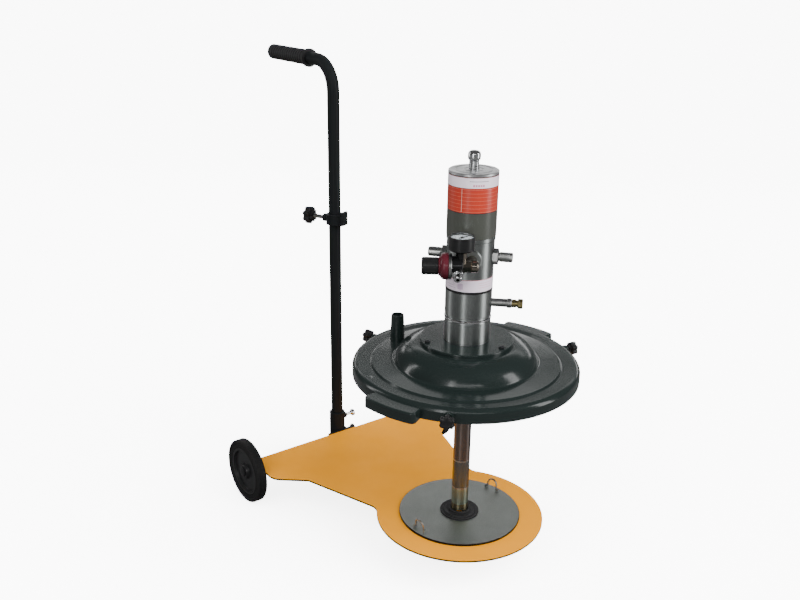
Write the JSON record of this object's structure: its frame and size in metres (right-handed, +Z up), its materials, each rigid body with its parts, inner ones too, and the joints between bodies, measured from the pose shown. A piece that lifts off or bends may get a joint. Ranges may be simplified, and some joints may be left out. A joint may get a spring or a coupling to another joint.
{
  "type": "pneumatic grease pump",
  "caption": "Air-driven grease pump with drum lid, follower plate and suction tube, standing on a wheeled trolley with a post handle.",
  "frame": {"origin": "centre of the base plate's round end on its top face, where the drum and pump stand", "axes": "+Z up along the pump, +Y towards the handle, +X along the wheel axle"},
  "size_m": [0.513, 0.85, 0.8786],
  "materials": {
    "yellow_paint": "semi-gloss",
    "black_paint": "gloss",
    "lid_paint": "gloss",
    "zinc_steel": "satin",
    "follower_steel": "matte",
    "chrome": "polished",
    "silver_aluminium": "satin",
    "grey_aluminium": "satin",
    "barrel_grey": "semi-gloss",
    "brass": "satin",
    "passivated_steel": "satin",
    "rubber": "matte",
    "tyre_rubber": "matte",
    "black_plastic": "matte",
    "red_plastic": "gloss",
    "dial_white": "matte",
    "clear_glass": "clear",
    "needle_black": "matte"
  },
  "bodies": {
    "trolley": {"base_plate": "yellow_paint", "front_foot": "black_paint", "foot_pads": "rubber", "axle": "zinc_steel", "axle_brackets": "black_paint", "axle_caps": "black_plastic", "handle_socket": "black_paint"},
    "wheel_left": {"tyre_left": "tyre_rubber", "hub_left": "black_plastic"},
    "wheel_right": {"tyre_right": "tyre_rubber", "hub_right": "black_plastic"},
    "handle": {"handle_tube": "black_paint", "handle_grip": "rubber"},
    "socket_screw_upper": {"socket_screw_upper": "zinc_steel"},
    "socket_screw_lower": {"socket_screw_lower": "zinc_steel"},
    "collar": {"post_collar": "black_paint"},
    "collar_screw": {"collar_screw": "black_plastic"},
    "pump": {"lid": "lid_paint", "lid_skirt": "lid_paint", "lid_lugs": "lid_paint", "lid_nuts": "lid_paint", "gun_holster": "lid_paint", "mounting_flange": "lid_paint", "flange_screws": "zinc_steel", "lower_neck": "grey_aluminium", "retaining_ring": "chrome", "grease_head": "silver_aluminium", "pump_seals": "rubber", "valve_body": "silver_aluminium", "air_cylinder": "barrel_grey", "top_cap": "chrome", "exhaust_muffler": "chrome", "side_nipple_left": "zinc_steel", "side_nipple_right": "zinc_steel", "outlet_nipple": "zinc_steel", "regulator_body": "black_paint", "inlet_nipple": "chrome", "regulator_bonnet": "red_plastic", "gauge_case": "black_plastic", "gauge_dial": "dial_white", "gauge_glass": "clear_glass", "suction_tube": "zinc_steel", "intake_tubes": "passivated_steel", "tube_joint_rings": "zinc_steel", "foot_valve": "passivated_steel"},
    "lid_screw_1": {"lid_screw_1": "black_plastic"},
    "lid_screw_2": {"lid_screw_2": "black_plastic"},
    "lid_screw_3": {"lid_screw_3": "black_plastic"},
    "outlet_swivel": {"outlet_swivel": "brass"},
    "regulator_knob": {"regulator_knob": "black_plastic"},
    "gauge_needle": {"gauge_needle": "needle_black"},
    "piston": {"piston_rod": "chrome", "air_piston": "silver_aluminium", "grease_piston": "passivated_steel"},
    "check_ball": {"check_ball": "chrome"},
    "air_spool": {"air_spool": "brass"},
    "follower": {"follower_plate": "follower_steel", "follower_wiper": "rubber"},
    "bail_left": {"bail_left": "zinc_steel"},
    "bail_right": {"bail_right": "zinc_steel"}
  },
  "joints": [
    {"name": "wheel_left_spin", "type": "hinge", "parent": "trolley", "child": "wheel_left", "pos_m": [-0.242, 0.385, -0.012], "axis": [1, 0, 0], "continuous": true},
    {"name": "wheel_right_spin", "type": "hinge", "parent": "trolley", "child": "wheel_right", "pos_m": [0.242, 0.385, -0.012], "axis": [1, 0, 0], "continuous": true},
    {"name": "handle_slide", "type": "slide", "parent": "trolley", "child": "handle", "axis": [0, 0, 1], "range_m": [0, 0.05]},
    {"name": "socket_screw_upper_turn", "type": "hinge", "parent": "trolley", "child": "socket_screw_upper", "pos_m": [0.035, 0.4175, 0.0245], "axis": [1, 0, 0], "range_deg": [-360, 1080]},
    {"name": "socket_screw_lower_turn", "type": "hinge", "parent": "trolley", "child": "socket_screw_lower", "pos_m": [0.035, 0.4175, -0.012], "axis": [1, 0, 0], "range_deg": [-360, 1080]},
    {"name": "collar_slide", "type": "slide", "parent": "handle", "child": "collar", "axis": [0, 0, 1], "range_m": [-0.4, 0.2]},
    {"name": "collar_screw_turn", "type": "hinge", "parent": "collar", "child": "collar_screw", "pos_m": [0, 0.4175, 0.47475], "axis": [-0.4226, 0.9063, 0], "range_deg": [-360, 1080]},
    {"name": "pump_lift", "type": "slide", "parent": "trolley", "child": "pump", "axis": [0, 0, 1], "range_m": [0, 0.4]},
    {"name": "lid_screw_1_turn", "type": "hinge", "parent": "pump", "child": "lid_screw_1", "pos_m": [0.20376, -0.0508, 0.3015], "axis": [0.9703, -0.2419, 0], "range_deg": [-2880, 720]},
    {"name": "lid_screw_2_turn", "type": "hinge", "parent": "pump", "child": "lid_screw_2", "pos_m": [-0.05788, 0.20186, 0.3015], "axis": [-0.2756, 0.9613, 0], "range_deg": [-2880, 720]},
    {"name": "lid_screw_3_turn", "type": "hinge", "parent": "pump", "child": "lid_screw_3", "pos_m": [-0.15606, -0.14052, 0.3015], "axis": [-0.7431, -0.6691, 0], "range_deg": [-2880, 720]},
    {"name": "outlet_swivel_spin", "type": "hinge", "parent": "pump", "child": "outlet_swivel", "pos_m": [0.05905, -0.06114, 0.425], "axis": [0.6947, -0.7193, 0], "continuous": true},
    {"name": "regulator_knob_turn", "type": "hinge", "parent": "pump", "child": "regulator_knob", "pos_m": [-0.0987, -0.01426, 0.51], "axis": [-0.788, 0.6157, 0], "range_deg": [0, 1440]},
    {"name": "gauge_needle_turn", "type": "hinge", "parent": "pump", "child": "gauge_needle", "pos_m": [-0.05891, -0.04535, 0.556], "axis": [0, 0, -1], "range_deg": [0, 270]},
    {"name": "piston_stroke", "type": "slide", "parent": "pump", "child": "piston", "axis": [0, 0, 1], "range_m": [0, 0.07]},
    {"name": "check_ball_lift", "type": "slide", "parent": "pump", "child": "check_ball", "axis": [0, 0, 1], "range_m": [0, 0.004]},
    {"name": "air_spool_shift", "type": "slide", "parent": "pump", "child": "air_spool", "axis": [0, 0, 1], "range_m": [0, 0.008]},
    {"name": "follower_slide", "type": "slide", "parent": "pump", "child": "follower", "axis": [0, 0, 1], "range_m": [0, 0.25]},
    {"name": "bail_left_swing", "type": "hinge", "parent": "follower", "child": "bail_left", "pos_m": [-0.10062, -0.0088, 0.007], "axis": [0.0872, -0.9962, 0], "range_deg": [-98, 82]},
    {"name": "bail_right_swing", "type": "hinge", "parent": "follower", "child": "bail_right", "pos_m": [0.09914, 0.01927, 0.007], "axis": [-0.1908, 0.9816, 0], "range_deg": [-98, 82]}
  ]
}
